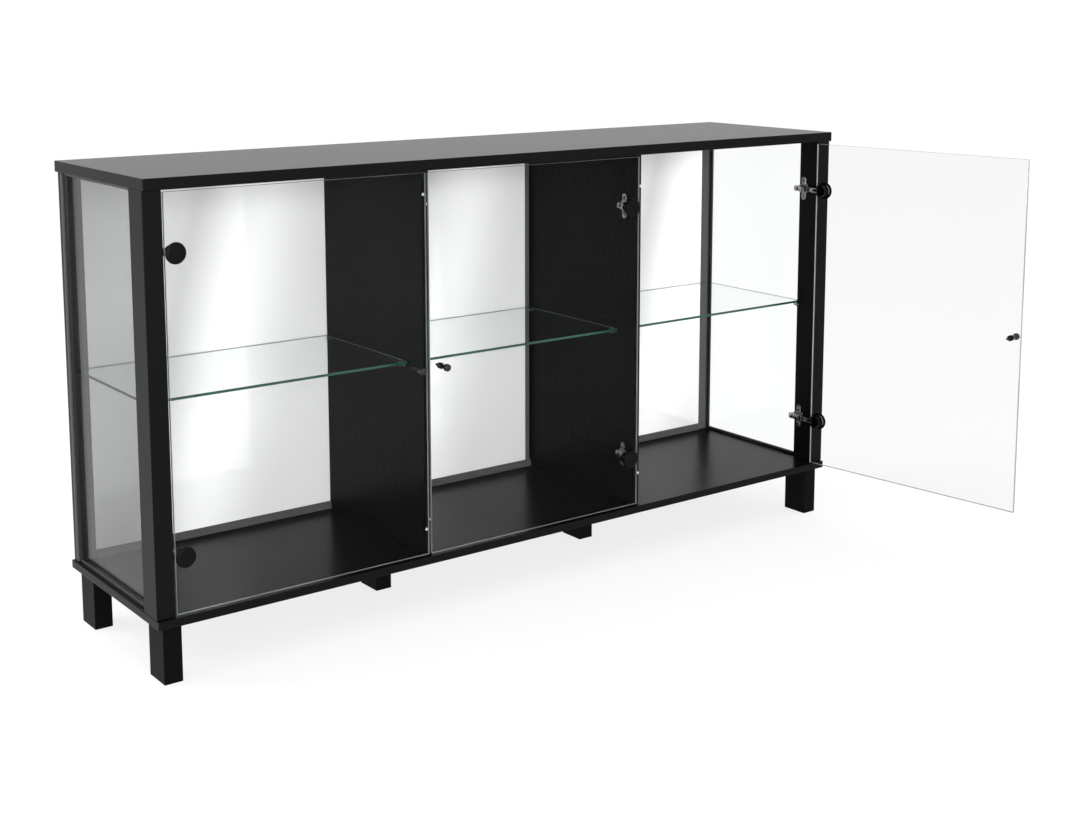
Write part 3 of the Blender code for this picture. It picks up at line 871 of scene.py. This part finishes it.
def back_screws():
    """Small screws that hold the back panel to the posts, the dividers and the two boards."""
    low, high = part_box("back_panel")
    cells = bmesh.new()
    dividers = [sum(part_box(f"{word}_divider")[end].x for end in (0, 1)) / 2 for word in SIDES]
    for x in (low.x + BACK_MARGIN, *dividers, high.x - BACK_MARGIN):
        for row in range(BACK_ROWS):
            z = low.z + BACK_MARGIN + (high.z - low.z - 2 * BACK_MARGIN) * row / (BACK_ROWS - 1)
            add_screw(cells, (x, high.y - 0.0001, z), (0, 1, 0), 0.0030, 0.0009)
    # The second finish is painted shade in the screws' cross recesses
    mesh = finished(cells, "back_panel_screws", (STEEL, PLASTIC), 35)
    piece("back_panel_screws", mesh, Matrix.Identity(4), "showcase", "nickel_steel")


# ---------------------------------------------------------------- stage


def stage():
    """A white floor that curves up into a wall behind the showcase, under a white sky."""
    low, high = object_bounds()
    middle = (low + high) / 2
    profile = [(-STAGE_REACH, 0.0), (STAGE_REACH - STAGE_BEND, 0.0)]
    for step in range(1, STAGE_STEPS + 1):
        angle = math.pi / 2 * step / STAGE_STEPS
        along = STAGE_REACH - STAGE_BEND + STAGE_BEND * math.sin(angle)
        profile.append((along, STAGE_BEND - STAGE_BEND * math.cos(angle)))
    profile.append((STAGE_REACH, STAGE_RISE))
    cells = bmesh.new()
    near, far = [
        [cells.verts.new((x, along, height)) for along, height in profile]
        for x in (-STAGE_REACH, STAGE_REACH)
    ]
    for first in range(len(profile) - 1):
        cells.faces.new((near[first], far[first], far[first + 1], near[first + 1]))
    paper = Shader("studio_paper", Base_Color=(0.21, 0.21, 0.21, 1), Roughness=0.9, Specular_IOR_Level=0.1)
    paper.bsdf.inputs["Emission Color"].default_value = (1, 1, 1, 1)
    paper.bsdf.inputs["Emission Strength"].default_value = 0.76
    paper.material.cycles.emission_sampling = "NONE"
    mesh = finished(cells, "studio_floor", (paper.material,))
    floor = bpy.data.objects.new("studio_floor", mesh)
    bpy.context.scene.collection.objects.link(floor)
    floor.location = (middle.x, middle.y, 0)
    floor.rotation_euler = (0, 0, -CAMERA_YAW)
    floor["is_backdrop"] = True

    world = bpy.data.worlds.new("studio_sky")
    world.use_nodes = True
    sky = world.node_tree.nodes["Background"]
    sky.inputs["Color"].default_value = (1, 1, 1, 1)
    sky.inputs["Strength"].default_value = 1.15
    bpy.context.scene.world = world


def softbox(name, place, target, size, power):
    lamp = bpy.data.lights.new(name, "AREA")
    lamp.shape = "RECTANGLE"
    lamp.size, lamp.size_y = size
    lamp.energy = power
    obj = bpy.data.objects.new(name, lamp)
    obj.location = place
    obj.rotation_euler = (Vector(target) - Vector(place)).to_track_quat("-Z", "Y").to_euler()
    obj.visible_camera = obj.visible_transmission = False
    bpy.context.scene.collection.objects.link(obj)


def lights():
    softbox("key_softbox", (-3.4, 3.0, 3.2), (0, 0, 0.4), (3.0, 2.0), 120)
    softbox("front_softbox", (-1.6, -4.6, 1.3), (0, 0, 0.5), (3.2, 1.6), 240)


def camera():
    low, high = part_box("top_panel")
    lens = bpy.data.cameras.new("photo_camera")
    lens.lens = CAMERA_LENS
    lens.sensor_width = CAMERA_SENSOR
    lens.shift_y = CAMERA_SHIFT
    lens.clip_end = CAMERA_FAR
    obj = bpy.data.objects.new("photo_camera", lens)
    obj.location = Vector((low.x, low.y, high.z)) + CAMERA_OFFSET
    obj.rotation_euler = (math.pi / 2 - CAMERA_PITCH, 0, -CAMERA_YAW)
    bpy.context.scene.collection.objects.link(obj)
    bpy.context.scene.camera = obj
    bpy.context.scene.view_settings.view_transform = "Standard"


paint_nodes()
side_panes()
shelves()
mirrors()
doors()
shelf_pins()
bumpers()
glazing_beads()
back_screws()
stage()
lights()
camera()
